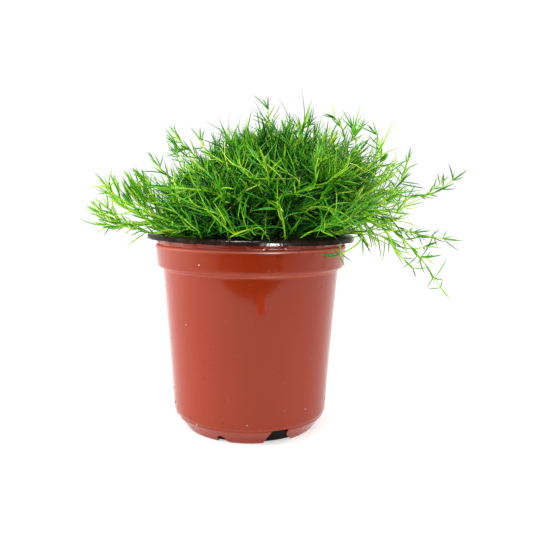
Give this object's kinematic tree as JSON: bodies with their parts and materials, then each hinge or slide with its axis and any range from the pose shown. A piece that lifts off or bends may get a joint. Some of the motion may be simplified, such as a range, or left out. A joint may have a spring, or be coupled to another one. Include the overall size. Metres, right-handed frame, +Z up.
{
  "type": "potted irish moss",
  "caption": "Potted Irish moss: a dense mat of fine green needle-leaved shoots spilling over the dark lip of a terracotta-coloured plastic nursery pot.",
  "frame": {"origin": "centre of the underside of the pot's base, on the surface that the pot stands on", "axes": "+Z up along the pot's axis; the pictured front faces -Y; +X to the right of the picture, where the longest shoots trail over the rim"},
  "size_m": [0.1741, 0.1406, 0.1466],
  "materials": {
    "terracotta_plastic": "glossy vacuum-formed plastic, terracotta outside and near-black inside and on the rolled lip",
    "peat_mix": "rough crumbly damp peat",
    "moss_foliage": "dense needle foliage, satin",
    "moss_shoot": "fresh green leaves and lime stems, satin"
  },
  "bodies": {
    "root": {"moss_mat": "moss_foliage", "pot": "terracotta_plastic", "potting_mix": "peat_mix", "shoot_crest_right": "moss_shoot", "shoot_crown_1": "moss_shoot", "shoot_crown_2": "moss_shoot", "shoot_crown_3": "moss_shoot", "shoot_crown_4": "moss_shoot", "shoot_front_left": "moss_shoot", "shoot_left_fan": "moss_shoot", "shoot_left_high": "moss_shoot", "shoot_left_low": "moss_shoot", "shoot_left_middle": "moss_shoot", "shoot_left_top": "moss_shoot", "shoot_over_rim": "moss_shoot", "shoot_right_crown": "moss_shoot", "shoot_right_far": "moss_shoot", "shoot_right_out": "moss_shoot", "shoot_right_rising": "moss_shoot", "shoot_shoulder_1": "moss_shoot", "shoot_shoulder_2": "moss_shoot", "shoot_shoulder_3": "moss_shoot", "shoot_shoulder_4": "moss_shoot", "shoot_shoulder_5": "moss_shoot", "shoot_shoulder_6": "moss_shoot", "shoot_shoulder_7": "moss_shoot", "shoot_shoulder_8": "moss_shoot", "shoot_skirt_1": "moss_shoot", "shoot_skirt_2": "moss_shoot", "shoot_skirt_3": "moss_shoot", "shoot_skirt_4": "moss_shoot", "shoot_skirt_5": "moss_shoot", "shoot_skirt_6": "moss_shoot", "shoot_skirt_7": "moss_shoot", "shoot_skirt_8": "moss_shoot", "shoot_skirt_9": "moss_shoot", "shoot_top": "moss_shoot", "shoot_top_far_right": "moss_shoot", "shoot_top_right": "moss_shoot", "trailing_shoot_long": "moss_shoot", "trailing_shoot_middle": "moss_shoot"}
  },
  "joints": []
}
